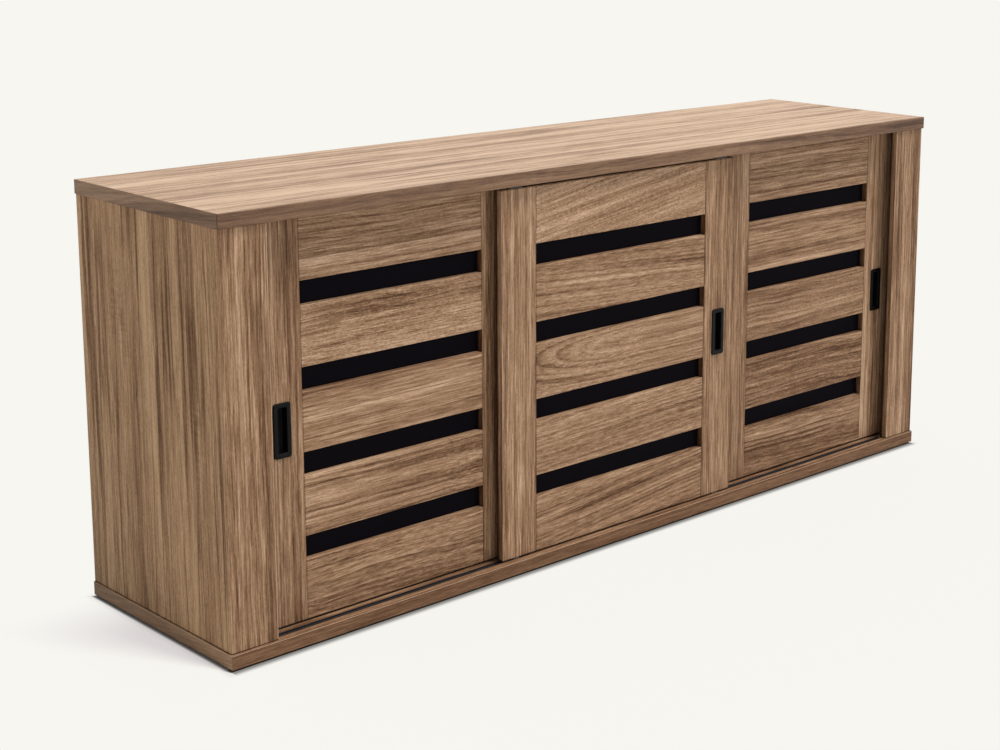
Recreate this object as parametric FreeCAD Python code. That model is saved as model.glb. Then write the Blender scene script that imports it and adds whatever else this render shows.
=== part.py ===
import FreeCAD, Part
import math
import os

Vector = FreeCAD.Vector

# Office credenza: a boarded carcass behind three framed sliding doors.
# X runs along the width, -Y is the front, Z is up and 0 is the floor.
# The origin is under the middle of the top. All sizes are in millimetres.

# ---- Overall size and boards ----
overall_width = 1800.0
overall_depth = 445.0
overall_height = 750.0
slab_thickness = 25.0
slab_edge_bevel = 0.8
side_overhang = 3.0
front_lip = 4.0
carcass_board = 18.0
front_board = 16.0
board_ease = 0.5
post_width = 88.0

# ---- Glides under the base ----
glide_height = 4.0
glide_radius = 18.0
glide_end_inset = 60.0
glide_side_inset = 48.0
glide_nail_radius = 1.5
glide_nail_length = 16.0
glide_nail_cover = 1.5

# ---- Back panel and its groove ----
back_thickness = 6.0
back_setback = 12.0
back_groove_depth = 6.0
back_fit = 0.1
back_slack = 0.5

# ---- Door lanes ----
lane_setback = 12.0
lane_pitch = 25.0
door_gap_bottom = 2.5
door_gap_top = 5.5
door_overlap = 20.0
left_door_ajar = 23.4
centre_door_shift = -14.0

# ---- Door frames ----
centre_door_width = 609.0
stile_width = 82.0
wide_stile_width = 126.0
rail_height = 105.5
slot_height = 41.5
slat_count = 3
tenon_thickness = 6.0
tenon_length = 20.0
tenon_shoulder = 6.0
tenon_setback = 3.5
mortise_fit = 0.1
mortise_end_gap = 0.5
backing_thickness = 3.0
backing_lap = 9.0
backing_slack = 0.5

# ---- Flush pulls ----
pull_width = 34.0
pull_height = 94.0
pull_corner = 5.0
pull_rim = 8.0
pull_rim_thickness = 2.0
pull_rim_bevel = 1.2
pull_drop = 5.5
pull_from_slot = 41.0
cup_depth = 11.0
cup_wall = 1.4
cup_draft = 1.5
cup_corner = 2.5
cup_fit = 0.2

# ---- Plastic tracks ----
track_width = 12.5
track_wall = 1.5
track_floor = 1.5
bottom_track_depth = 5.0
rib_width = 3.0
rib_drop = 0.8
top_track_depth = 12.0
track_end_gap = 3.0

# ---- Rollers and top guides ----
roller_radius = 10.0
roller_groove_radius = 8.0
roller_width = 7.0
roller_groove_width = 4.2
roller_groove_taper = 0.5
roller_rail_gap = 0.3
roller_from_edge = 36.0
axle_radius = 1.5
axle_running_fit = 0.05
housing_length = 36.0
housing_width = 11.0
housing_height = 20.0
housing_fit = 0.1
wheel_well_margin = 0.8
wheel_side_margin = 0.6
guide_length = 28.0
guide_width = 10.0
guide_plug_depth = 18.0
guide_flange = 2.0
guide_flange_thickness = 1.5
tongue_width = 8.0
tongue_length = 24.0
tongue_reach = 8.0
tongue_end_bevel = 2.0

# ---- Dividers and shelves ----
divider_clearance = 14.0
shelf_setback = 10.0
shelf_back_gap = 5.0
shelf_end_gap = 2.0
shelf_pin_radius = 2.5
shelf_pin_depth = 10.0
shelf_pin_reach = 8.0
shelf_pin_inset = 40.0
shelf_hole_pitch = 32.0
spare_hole_count = 1
divider_pin_stagger = 10.0

# ---- Carcass fittings ----
cam_radius = 7.5
cam_depth = 12.5
cam_from_end = 24.0
bolt_radius = 2.5
bolt_into_cam = 4.0
bolt_in_slab = 11.0
bolt_fit = 0.4
dowel_radius = 4.0
dowel_in_slab = 10.0
dowel_in_panel = 25.0
fitting_inset = 45.0
dowel_inset = 85.0

# ---- Flats on small round pieces and their holes ----
fastener_flat_count = 6
cam_flat_count = 8
glide_flat_count = 18
roller_flat_count = 20

# ---- Door bumpers ----
bumper_radius = 5.0
bumper_thickness = 1.5
bumper_gap = 0.2
bumper_inset = 70.0

# ---- Places worked out from the sizes above ----
front_y = -overall_depth / 2
rear_y = overall_depth / 2
base_bottom = glide_height
base_top = glide_height + slab_thickness
top_bottom = overall_height - slab_thickness
side_outer = overall_width / 2 - side_overhang
side_inner = side_outer - carcass_board
post_inner = side_outer - post_width
front_track_half = post_inner - track_end_gap
rear_track_half = side_inner - track_end_gap
post_front = front_y + front_lip
post_back = post_front + front_board
back_rear = rear_y - back_setback
back_front = back_rear - back_thickness

door_bottom = base_top + door_gap_bottom
door_top = top_bottom - door_gap_top
slot_count = slat_count + 1
field_bottom = door_bottom + rail_height
field_top = door_top - rail_height
slat_height = (field_top - field_bottom - slot_count * slot_height) / slat_count
slat_thickness = front_board - backing_thickness
pull_z = (door_bottom + door_top) / 2 - pull_drop

front_lane = front_y + lane_setback
rear_lane = front_lane + lane_pitch
divider_front = rear_lane + front_board + divider_clearance
closed_edge = side_inner - bumper_thickness - bumper_gap
end_door_width = closed_edge + door_overlap - centre_door_width / 2
divider_x = (centre_door_width - door_overlap) / 2

rib_top = base_top - rib_drop
axle_z = rib_top + roller_groove_radius + roller_rail_gap
shelf_bottom = (base_top + top_bottom - carcass_board) / 2
shelf_pin_z = shelf_bottom - shelf_pin_radius
shelf_front = divider_front + shelf_setback
shelf_rear = back_front - shelf_back_gap
pin_rows = (shelf_front + shelf_pin_inset, shelf_rear - shelf_pin_inset)
cam_rows = (divider_front + fitting_inset, back_front - fitting_inset)
dowel_rows = (divider_front + dowel_inset, back_front - dowel_inset)

up = Vector(0, 0, 1)
along = Vector(1, 0, 0)
inward = Vector(0, 1, 0)


# ---- Small helpers ----
def block(x_low, x_high, y_low, y_high, z_low, z_high):
    corner = Vector(x_low, y_low, z_low)
    return Part.makeBox(x_high - x_low, y_high - y_low, z_high - z_low, corner)


def eased(solid, amount=board_ease):
    return solid.makeChamfer(amount, solid.Edges)


def rounded_rectangle(x, y, z, width, height, radius):
    # A wire in the XZ plane, centred on x, z at depth y.
    half_w = width / 2
    half_h = height / 2
    inner_w = half_w - radius
    inner_h = half_h - radius
    diagonal = radius * 0.5 ** 0.5
    edges = []
    for turn_x, turn_z in ((1, 1), (-1, 1), (-1, -1), (1, -1)):
        centre_x = x + turn_x * inner_w
        centre_z = z + turn_z * inner_h
        side_point = Vector(centre_x + turn_x * radius, y, centre_z)
        cap_point = Vector(centre_x, y, centre_z + turn_z * radius)
        middle = Vector(centre_x + turn_x * diagonal, y, centre_z + turn_z * diagonal)
        edges.append(Part.Arc(side_point, middle, cap_point).toShape())
    for side in (1, -1):
        top = Vector(x + side * half_w, y, z + inner_h)
        bottom = Vector(x + side * half_w, y, z - inner_h)
        edges.append(Part.makeLine(top, bottom))
        left = Vector(x - inner_w, y, z + side * half_h)
        right = Vector(x + inner_w, y, z + side * half_h)
        edges.append(Part.makeLine(left, right))
    return Part.Wire(Part.__sortEdges__(edges))


def plate(wire, thickness):
    return Part.Face(wire).extrude(Vector(0, thickness, 0))


def save(name, *solids):
    shape = solids[0] if len(solids) == 1 else Part.makeCompound(list(solids))
    shape.exportStep("parts/" + name + ".step")


def ring(radius, centre, direction, flats):
    # Corners of a polygon whose flats lie at the given radius from its centre, one of them on top.
    first = inward if direction.y == 0 else along
    second = direction.cross(first)
    reach = radius / math.cos(math.pi / flats)
    points = []
    for index in range(flats):
        angle = math.pi / 2 + 2 * math.pi * (index + 0.5) / flats
        across = reach * math.cos(angle)
        upward = reach * math.sin(angle)
        points.append(centre + first * across + second * upward)
    return points


def flat_face(points):
    return Part.Face(Part.makePolygon(list(points) + [points[0]]))


def peg(radius, length, start, direction, flats=fastener_flat_count):
    return flat_face(ring(radius, start, direction, flats)).extrude(direction * length)


def skin_rings(rings):
    # A solid whose flat sides join each ring of points to the next, closed at both ends.
    faces = [flat_face(rings[0]), flat_face(rings[-1])]
    for near, far in zip(rings, rings[1:]):
        for index in range(len(near)):
            faces.append(flat_face((near[index - 1], near[index], far[index], far[index - 1])))
    return Part.Solid(Part.Shell(faces))


# ---- Slabs, sides, posts, dividers and back ----
def lane_middle(lane):
    return lane + front_board / 2


def track_grooves(face_z, deep_z):
    # One groove per lane; the front one runs between the posts, the rear one between the sides.
    half = track_width / 2
    z_low, z_high = sorted((face_z, deep_z))
    grooves = []
    for half_length, lane in ((front_track_half, front_lane), (rear_track_half, rear_lane)):
        middle = lane_middle(lane)
        grooves.append(block(-half_length, half_length, middle - half, middle + half, z_low, z_high))
    return grooves


def bevelled_slab(z_low, z_high):
    half_width = overall_width / 2
    return eased(block(-half_width, half_width, front_y, rear_y, z_low, z_high), slab_edge_bevel)


def slab_joint_holes(z_face, direction):
    # Blind holes for the bolts and dowels that tie the uprights to a slab.
    tools = []
    for x in upright_middles():
        for y in cam_rows:
            tools.append(peg(bolt_radius, bolt_in_slab, Vector(x, y, z_face), direction))
        for y in dowel_rows:
            tools.append(peg(dowel_radius, dowel_in_slab, Vector(x, y, z_face), direction))
    for x, y in post_dowel_places():
        tools.append(peg(dowel_radius, dowel_in_slab, Vector(x, y, z_face), direction))
    return tools


def upright_middles():
    side_middle = side_outer - carcass_board / 2
    return (-side_middle, -divider_x, divider_x, side_middle)


def post_dowel_places():
    post_middle = side_outer - post_width / 2
    return [(side * post_middle, post_front + front_board / 2) for side in (-1, 1)]


def glide_places():
    end_x = overall_width / 2 - glide_end_inset
    low_y = front_y + glide_side_inset
    high_y = rear_y - glide_side_inset
    return [(x, y) for x in (-end_x, -divider_x, divider_x, end_x) for y in (low_y, high_y)]


def back_groove(z_low, z_high):
    reach = side_inner + back_groove_depth
    return block(-reach, reach, back_front - back_fit, back_rear + back_fit, z_low, z_high)


def make_base():
    tools = slab_joint_holes(base_top, -up)
    tools += track_grooves(base_top, base_top - bottom_track_depth)
    tools.append(back_groove(base_top - back_groove_depth, base_top))
    for x, y in glide_places():
        tools.append(glide_nail(x, y))
    return bevelled_slab(base_bottom, base_top).cut(tools)


def make_top():
    tools = slab_joint_holes(top_bottom, up)
    tools += track_grooves(top_bottom, top_bottom + top_track_depth)
    tools.append(back_groove(top_bottom, top_bottom + back_groove_depth))
    return bevelled_slab(top_bottom, overall_height).cut(tools)


def mitred_side():
    # Plan outline of the left side: its front edge is mitred to meet the post.
    corners = (
        (-side_outer, post_front),
        (-side_outer + front_board, post_back),
        (-side_inner, post_back),
        (-side_inner, rear_y),
        (-side_outer, rear_y),
    )
    return upright_prism(corners)


def mitred_post():
    # Plan outline of the left post, mitred on its outer edge.
    corners = (
        (-side_outer, post_front),
        (-post_inner, post_front),
        (-post_inner, post_back),
        (-side_outer + front_board, post_back),
    )
    return upright_prism(corners)


def upright_prism(corners):
    outline = flat_face([Vector(x, y, base_top) for x, y in corners])
    return outline.extrude(Vector(0, 0, top_bottom - base_top))


def mirrored(solid):
    return solid.mirror(Vector(0, 0, 0), along)


def cam_places(x_middle, cam_face, cam_side):
    # Each cam sits in the face on cam_side, near both ends of the upright.
    places = []
    for y in cam_rows:
        for end, toward in ((base_top, up), (top_bottom, -up)):
            places.append((x_middle, y, end, toward, cam_face, cam_side))
    return places


def cam_socket(place):
    x_middle, y, end, toward, cam_face, cam_side = place
    centre = Vector(cam_face, y, end + toward.z * cam_from_end)
    well = peg(cam_radius, cam_depth, centre, Vector(-cam_side, 0, 0), cam_flat_count)
    shaft = peg(bolt_radius + bolt_fit, cam_from_end, Vector(x_middle, y, end), toward)
    return [well, shaft]


def dowel_sockets(x, y_rows):
    tools = []
    for y in y_rows:
        tools.append(peg(dowel_radius, dowel_in_panel, Vector(x, y, base_top), up))
        tools.append(peg(dowel_radius, dowel_in_panel, Vector(x, y, top_bottom), -up))
    return tools


def shelf_holes(face_x, side):
    # side is +1 where the wood lies to the right of the face.
    tools = []
    for y in pin_rows:
        for step in range(-spare_hole_count, spare_hole_count + 1):
            start = Vector(face_x, y, shelf_pin_z + step * shelf_hole_pitch)
            tools.append(peg(shelf_pin_radius, shelf_pin_depth, start, Vector(side, 0, 0)))
    return tools


def side_cams():
    return cam_places(-side_outer + carcass_board / 2, -side_inner, 1)


def divider_cams():
    return cam_places(-divider_x, -divider_x + carcass_board / 2, 1)


def make_left_side():
    tools = []
    for place in side_cams():
        tools += cam_socket(place)
    tools += dowel_sockets(-side_outer + carcass_board / 2, dowel_rows)
    tools += shelf_holes(-side_inner, -1)
    tools.append(back_groove(base_top, top_bottom))
    return mitred_side().cut(tools)


def make_left_post():
    tools = [tool for x, y in post_dowel_places()[:1] for tool in dowel_sockets(x, (y,))]
    return mitred_post().cut(tools)


def make_left_divider():
    low = -divider_x - carcass_board / 2
    high = -divider_x + carcass_board / 2
    panel = block(low, high, divider_front, back_front - back_fit, base_top, top_bottom)
    tools = dowel_sockets(-divider_x, dowel_rows)
    for place in divider_cams():
        tools += cam_socket(place)
    # Pin holes from both faces are staggered, so that they do not meet.
    tools += shelf_holes(low, 1)
    tools += [tool.translated(Vector(0, divider_pin_stagger, 0)) for tool in shelf_holes(high, -1)]
    return panel.cut(tools)


def make_back():
    reach = side_inner + back_groove_depth - back_slack
    low = base_top - back_groove_depth
    high = top_bottom + back_groove_depth - back_slack
    return block(-reach, reach, back_front, back_rear, low, high)


# ---- Fittings of the carcass ----
def bolt_reach():
    # How far a bolt stands out of the slab: through the wood and a little into the cam.
    return cam_from_end - cam_radius + bolt_into_cam


def make_cam(place):
    x_middle, y, end, toward, cam_face, cam_side = place
    centre = Vector(cam_face, y, end + toward.z * cam_from_end)
    body = peg(cam_radius, cam_depth, centre, Vector(-cam_side, 0, 0), cam_flat_count)
    return body.cut(peg(bolt_radius, bolt_reach(), Vector(x_middle, y, end), toward))


def make_bolt(place):
    x_middle, y, end, toward, cam_face, cam_side = place
    start = Vector(x_middle, y, end - toward.z * bolt_in_slab)
    return peg(bolt_radius, bolt_in_slab + bolt_reach(), start, toward)


def make_dowels():
    places = [(x, y) for x in upright_middles() for y in dowel_rows] + post_dowel_places()
    length = dowel_in_slab + dowel_in_panel
    dowels = []
    for x, y in places:
        dowels.append(peg(dowel_radius, length, Vector(x, y, base_top - dowel_in_slab), up))
        dowels.append(peg(dowel_radius, length, Vector(x, y, top_bottom + dowel_in_slab), -up))
    return dowels


def glide_nail(x, y):
    return peg(glide_nail_radius, glide_nail_length, Vector(x, y, glide_nail_cover), up)


def make_glide(x, y):
    disc = peg(glide_radius, glide_height, Vector(x, y, 0), up, glide_flat_count)
    return disc.cut(glide_nail(x, y))


def make_track(half_length, lane, face_z, depth, opens, with_rib):
    # A channel let into a slab; opens is +1 for a bottom track and -1 for a top one.
    middle = lane_middle(lane)
    y_low = middle - track_width / 2
    y_high = middle + track_width / 2
    deep_z = face_z - opens * depth
    z_low, z_high = sorted((face_z, deep_z))
    channel = block(-half_length, half_length, y_low, y_high, z_low, z_high)
    z_low, z_high = sorted((face_z, deep_z + opens * track_floor))
    hollow = block(-half_length, half_length, y_low + track_wall, y_high - track_wall, z_low, z_high)
    channel = channel.cut(hollow)
    if with_rib:
        rib_half = rib_width / 2
        rib = block(-half_length, half_length, middle - rib_half, middle + rib_half, deep_z, rib_top)
        channel = channel.fuse(rib).removeSplitter()
    return channel


def make_bumper(side, z):
    start = Vector(side * side_inner, lane_middle(rear_lane), z)
    return peg(bumper_radius, bumper_thickness, start, Vector(-side, 0, 0), cam_flat_count)


# ---- Shelves ----
def shelf_bays():
    divider_low = divider_x - carcass_board / 2
    divider_high = divider_x + carcass_board / 2
    return {
        "left": (-side_inner, -divider_high, 0, 0),
        "centre": (-divider_low, divider_low, 1, 1),
        "right": (divider_high, side_inner, 0, 0),
    }


def make_shelf(bay):
    low = bay[0] + shelf_end_gap
    high = bay[1] - shelf_end_gap
    board = block(low, high, shelf_front, shelf_rear, shelf_bottom, shelf_bottom + carcass_board)
    return eased(board)


def make_shelf_pins(bay):
    pins = []
    for face, side, staggered in ((bay[0], 1, bay[2]), (bay[1], -1, bay[3])):
        for row in pin_rows:
            y = row + staggered * divider_pin_stagger
            inner = Vector(face - side * shelf_pin_depth, y, shelf_pin_z)
            direction = Vector(side, 0, 0)
            pins.append(peg(shelf_pin_radius, shelf_pin_depth + shelf_pin_reach, inner, direction))
    return pins


# ---- Door frames ----
def member_levels():
    # Bottom and top of each cross member, from the bottom rail to the top rail.
    levels = [(door_bottom, field_bottom)]
    step = slat_height + slot_height
    for index in range(slat_count):
        low = field_bottom + slot_height + index * step
        levels.append((low, low + slat_height))
    levels.append((field_top, door_top))
    return levels


def tenon(x_shoulder, side, lane, level, growth=0, end_gap=0):
    # side is +1 for a tenon that points to the right; growth and end_gap make it its mortise.
    x_low, x_high = sorted((x_shoulder, x_shoulder + side * (tenon_length + end_gap)))
    y_low = lane + tenon_setback - growth
    y_high = lane + tenon_setback + tenon_thickness + growth
    z_low = level[0] + tenon_shoulder - growth
    z_high = level[1] - tenon_shoulder + growth
    return block(x_low, x_high, y_low, y_high, z_low, z_high)


def backing_block(field_left, field_right, lane, lap):
    # Lies in the back of a door, and laps the frame by the same amount all round.
    back = lane + front_board
    front = back - backing_thickness
    return block(field_left - lap, field_right + lap, front, back, field_bottom - lap, field_top + lap)


def make_cross_members(field_left, field_right, lane):
    levels = member_levels()
    recess = backing_block(field_left, field_right, lane, backing_lap)
    members = []
    for index, level in enumerate(levels):
        is_rail = index in (0, len(levels) - 1)
        thickness = front_board if is_rail else slat_thickness
        board = eased(block(field_left, field_right, lane, lane + thickness, level[0], level[1]))
        board = board.fuse([tenon(field_left, -1, lane, level), tenon(field_right, 1, lane, level)])
        board = board.removeSplitter()
        if is_rail:
            board = board.cut(recess)
        members.append(board)
    return members


def roller_middles(left, right):
    return (left + roller_from_edge, right - roller_from_edge)


def edge_pocket(x, lane, length, width, z_low, z_high, growth=0):
    # A block in the middle of the board's thickness; growth makes it its mortise.
    middle = lane_middle(lane)
    half_length = length / 2 + growth
    half_width = width / 2 + growth
    return block(x - half_length, x + half_length, middle - half_width, middle + half_width, z_low, z_high)


def make_stile(low, high, lane, shoulder, side, roller_x, recess, pull_x):
    # shoulder is the stile's inner edge, and side points from it into the stile.
    stile = eased(block(low, high, lane, lane + front_board, door_bottom, door_top))
    tools = [recess]
    for level in member_levels():
        tools.append(tenon(shoulder, side, lane, level, mortise_fit, mortise_end_gap))
    tools.append(edge_pocket(roller_x, lane, housing_length, housing_width, door_bottom,
                             door_bottom + housing_height, housing_fit))
    tools.append(edge_pocket(roller_x, lane, guide_length, guide_width,
                             door_top - guide_plug_depth, door_top, housing_fit))
    if pull_x is not None:
        tools.append(cup_block(pull_x, lane, cup_fit))
    return stile.cut(tools)


# ---- Door fittings ----
def cup_block(pull_x, lane, growth):
    # The outside of the cup; growth widens and deepens it into its pocket.
    half_width = pull_width / 2 - pull_rim + cup_wall + growth
    half_height = pull_height / 2 - pull_rim + cup_wall + growth
    return block(pull_x - half_width, pull_x + half_width, lane, lane + cup_depth + cup_wall + growth,
                 pull_z - half_height, pull_z + half_height)


def make_pull(pull_x, lane):
    outer_y = lane - pull_rim_thickness
    outline = rounded_rectangle(pull_x, outer_y, pull_z, pull_width, pull_height, pull_corner)
    rim = plate(outline, pull_rim_thickness)
    front_edges = [edge for edge in rim.Edges if edge.BoundBox.YMax < outer_y + pull_rim_thickness / 2]
    rim = rim.makeChamfer(pull_rim_bevel, front_edges)
    mouth_width = pull_width - 2 * pull_rim
    mouth_height = pull_height - 2 * pull_rim
    mouth = rounded_rectangle(pull_x, outer_y, pull_z, mouth_width, mouth_height, cup_corner)
    floor = rounded_rectangle(pull_x, lane + cup_depth, pull_z, mouth_width - 2 * cup_draft,
                              mouth_height - 2 * cup_draft, cup_corner)
    hollow = Part.makeLoft([mouth, floor], True, True)
    return rim.fuse(cup_block(pull_x, lane, 0)).removeSplitter().cut(hollow)


def make_roller(x, lane):
    # The profile is radius against width, carried round the axle. A tapered groove rides the rib.
    middle = lane_middle(lane)
    half = roller_width / 2
    groove_top = roller_groove_width / 2
    groove_bottom = groove_top - roller_groove_taper
    profile = (
        (roller_radius, -half),
        (roller_radius, -groove_top),
        (roller_groove_radius, -groove_bottom),
        (roller_groove_radius, groove_bottom),
        (roller_radius, groove_top),
        (roller_radius, half),
    )
    rings = []
    for radius, across in profile:
        rings.append(ring(radius, Vector(x, middle + across, axle_z), inward, roller_flat_count))
    wheel = skin_rings(rings)
    bore_start = Vector(x, middle - half, axle_z)
    return wheel.cut(Part.makeCylinder(axle_radius + axle_running_fit, roller_width, bore_start, inward))


def make_axle(x, lane):
    start = Vector(x, lane_middle(lane) - housing_width / 2, axle_z)
    return Part.makeCylinder(axle_radius, housing_width, start, inward)


def make_housing(x, lane):
    top = door_bottom + housing_height
    body = edge_pocket(x, lane, housing_length, housing_width, door_bottom, top)
    well_length = 2 * (roller_radius + wheel_well_margin)
    well_width = roller_width + 2 * wheel_side_margin
    well = edge_pocket(x, lane, well_length, well_width, door_bottom, axle_z + well_length / 2)
    socket_start = Vector(x, lane_middle(lane) - housing_width / 2, axle_z)
    return body.cut([well, peg(axle_radius, housing_width, socket_start, inward)])


def make_guide(x, lane):
    plug = edge_pocket(x, lane, guide_length, guide_width, door_top - guide_plug_depth, door_top)
    flange_top = door_top + guide_flange_thickness
    flange = edge_pocket(x, lane, guide_length, guide_width, door_top, flange_top, guide_flange)
    tongue = edge_pocket(x, lane, tongue_length, tongue_width, door_top, top_bottom + tongue_reach)
    ends = [edge for edge in tongue.Edges
            if edge.BoundBox.ZMin > door_top + tongue_reach / 2 and edge.BoundBox.YLength > tongue_width / 2]
    tongue = tongue.makeChamfer(tongue_end_bevel, ends)
    return plug.fuse([flange, tongue]).removeSplitter()


def make_door(name, left, width, lane, left_stile, right_stile, pull_side):
    right = left + width
    field_left = left + left_stile
    field_right = right - right_stile
    recess = backing_block(field_left, field_right, lane, backing_lap)
    roller_left, roller_right = roller_middles(left, right)
    pull_x = field_left - pull_from_slot if pull_side == "left" else field_right + pull_from_slot
    left_pull = pull_x if pull_side == "left" else None
    right_pull = pull_x if pull_side == "right" else None
    stile = make_stile(left, field_left, lane, field_left, -1, roller_left, recess, left_pull)
    save(name + "_stile_left", stile)
    stile = make_stile(field_right, right, lane, field_right, 1, roller_right, recess, right_pull)
    save(name + "_stile_right", stile)
    members = make_cross_members(field_left, field_right, lane)
    save(name + "_bottom_rail", members[0])
    save(name + "_slats", *members[1:-1])
    save(name + "_top_rail", members[-1])
    save(name + "_backing", backing_block(field_left, field_right, lane, backing_lap - backing_slack))
    save(name + "_pull", make_pull(pull_x, lane))
    middles = (roller_left, roller_right)
    save(name + "_roller_housings", *[make_housing(x, lane) for x in middles])
    save(name + "_roller_axles", *[make_axle(x, lane) for x in middles])
    save(name + "_top_guides", *[make_guide(x, lane) for x in middles])
    save(name + "_roller_left", make_roller(roller_left, lane))
    save(name + "_roller_right", make_roller(roller_right, lane))
    print(name, "left", round(left, 3), "right", round(right, 3), "rollers",
          round(roller_left, 3), round(roller_right, 3), "pull", round(pull_x, 3), round(pull_z, 3))


os.makedirs("parts", exist_ok=True)

save("top_panel", make_top())
save("base_panel", make_base())
left_side = make_left_side()
save("side_panel_left", left_side)
save("side_panel_right", mirrored(left_side))
left_post = make_left_post()
save("front_post_left", left_post)
save("front_post_right", mirrored(left_post))
left_divider = make_left_divider()
save("divider_left", left_divider)
save("divider_right", mirrored(left_divider))
save("back_panel", make_back())

cam_sites = side_cams() + divider_cams()
left_cams = [make_cam(place) for place in cam_sites]
save("cam_locks", *left_cams, *[mirrored(cam) for cam in left_cams])
left_bolts = [make_bolt(place) for place in cam_sites]
save("cam_bolts", *left_bolts, *[mirrored(bolt) for bolt in left_bolts])
save("panel_dowels", *make_dowels())
save("glides", *[make_glide(x, y) for x, y in glide_places()])
save("glide_nails", *[glide_nail(x, y) for x, y in glide_places()])

save("bottom_track_front", make_track(front_track_half, front_lane, base_top, bottom_track_depth, 1, True))
save("bottom_track_rear", make_track(rear_track_half, rear_lane, base_top, bottom_track_depth, 1, True))
save("top_track_front", make_track(front_track_half, front_lane, top_bottom, top_track_depth, -1, False))
save("top_track_rear", make_track(rear_track_half, rear_lane, top_bottom, top_track_depth, -1, False))
bumper_levels = (door_bottom + bumper_inset, door_top - bumper_inset)
save("door_bumpers", *[make_bumper(side, z) for side in (-1, 1) for z in bumper_levels])

all_pins = []
for bay_name, bay in shelf_bays().items():
    save("shelf_" + bay_name, make_shelf(bay))
    all_pins += make_shelf_pins(bay)
save("shelf_pins", *all_pins)

left_door_edge = -closed_edge + left_door_ajar
centre_door_edge = centre_door_shift - centre_door_width / 2
right_door_edge = closed_edge - end_door_width
make_door("left_door", left_door_edge, end_door_width, rear_lane, wide_stile_width, stile_width, "left")
make_door("centre_door", centre_door_edge, centre_door_width, front_lane, stile_width, stile_width, "right")
make_door("right_door", right_door_edge, end_door_width, rear_lane, stile_width, wide_stile_width, "right")
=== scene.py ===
import math

import bpy
from mathutils import Matrix, Vector


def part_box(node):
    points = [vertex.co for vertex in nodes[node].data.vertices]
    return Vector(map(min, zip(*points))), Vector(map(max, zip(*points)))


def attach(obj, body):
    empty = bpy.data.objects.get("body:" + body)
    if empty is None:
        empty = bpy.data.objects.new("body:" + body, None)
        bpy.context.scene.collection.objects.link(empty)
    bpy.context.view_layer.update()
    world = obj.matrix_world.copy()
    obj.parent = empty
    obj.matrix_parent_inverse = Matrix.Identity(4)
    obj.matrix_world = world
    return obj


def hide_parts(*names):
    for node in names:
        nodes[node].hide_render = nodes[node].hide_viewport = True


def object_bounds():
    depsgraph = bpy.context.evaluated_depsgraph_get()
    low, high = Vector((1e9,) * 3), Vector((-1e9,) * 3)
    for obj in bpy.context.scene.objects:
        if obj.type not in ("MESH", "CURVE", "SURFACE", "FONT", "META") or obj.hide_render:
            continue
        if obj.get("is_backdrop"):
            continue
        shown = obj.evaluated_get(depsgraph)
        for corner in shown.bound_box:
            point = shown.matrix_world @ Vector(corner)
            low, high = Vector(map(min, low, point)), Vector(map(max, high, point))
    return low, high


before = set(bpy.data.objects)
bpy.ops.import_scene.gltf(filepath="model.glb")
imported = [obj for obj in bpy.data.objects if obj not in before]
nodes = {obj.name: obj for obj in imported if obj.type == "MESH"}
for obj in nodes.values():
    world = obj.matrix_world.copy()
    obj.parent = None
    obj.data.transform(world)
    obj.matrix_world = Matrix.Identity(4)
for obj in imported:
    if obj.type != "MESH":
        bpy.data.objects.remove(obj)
cadLow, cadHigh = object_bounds()
doorNames = ["left_door", "centre_door", "right_door"]
print("frame loaded:", len(nodes), "nodes")

# socket types of the node groups
numberSocket = "NodeSocketFloat"
vectorSocket = "NodeSocketVector"
colourSocket = "NodeSocketColor"


def paint(red, green, blue):
    # a display colour from 0 to 255, as the linear colour that a socket takes
    linear = []
    for part in (red, green, blue):
        share = part / 255
        linear.append(share / 12.92 if share <= 0.04045 else ((share + 0.055) / 1.055) ** 2.4)
    return (*linear, 1.0)


def feed(tree, socket, value):
    # a socket takes a link or a plain value
    if isinstance(value, bpy.types.NodeSocket):
        tree.links.new(value, socket)
    elif value is not None:
        socket.default_value = value


def calc(tree, operation, *values):
    node = tree.nodes.new("ShaderNodeMath")
    node.operation = operation
    for socket, value in zip(node.inputs, values):
        feed(tree, socket, value)
    return node.outputs[0]


def times(tree, first, second):
    return calc(tree, "MULTIPLY", first, second)


def timesPlus(tree, first, second, third):
    return calc(tree, "MULTIPLY_ADD", first, second, third)


def sizeOf(tree, value):
    return calc(tree, "ABSOLUTE", value)


def vectorCalc(tree, operation, first, second):
    node = tree.nodes.new("ShaderNodeVectorMath")
    node.operation = operation
    feed(tree, node.inputs[0], first)
    feed(tree, node.inputs[1], second)
    return node.outputs[0]


def stretch(tree, vector, scale):
    return vectorCalc(tree, "MULTIPLY", vector, scale)


def add(tree, first, second):
    return vectorCalc(tree, "ADD", first, second)


def noise(tree, vector, detail=2.0, roughness=0.5, distortion=0.0):
    # noise about zero, from roughly -0.5 to 0.5
    node = tree.nodes.new("ShaderNodeTexNoise")
    node.inputs["Scale"].default_value = 1.0
    node.inputs["Detail"].default_value = detail
    node.inputs["Roughness"].default_value = roughness
    node.inputs["Distortion"].default_value = distortion
    feed(tree, node.inputs["Vector"], vector)
    return calc(tree, "SUBTRACT", node.outputs["Fac"], 0.5)


def ease(tree, value, low, high, outLow=0.0, outHigh=1.0):
    node = tree.nodes.new("ShaderNodeMapRange")
    node.interpolation_type = "SMOOTHSTEP"
    feed(tree, node.inputs["Value"], value)
    node.inputs["From Min"].default_value = low
    node.inputs["From Max"].default_value = high
    node.inputs["To Min"].default_value = outLow
    node.inputs["To Max"].default_value = outHigh
    return node.outputs["Result"]


def split(tree, vector):
    node = tree.nodes.new("ShaderNodeSeparateXYZ")
    feed(tree, node.inputs[0], vector)
    return node.outputs


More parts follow.
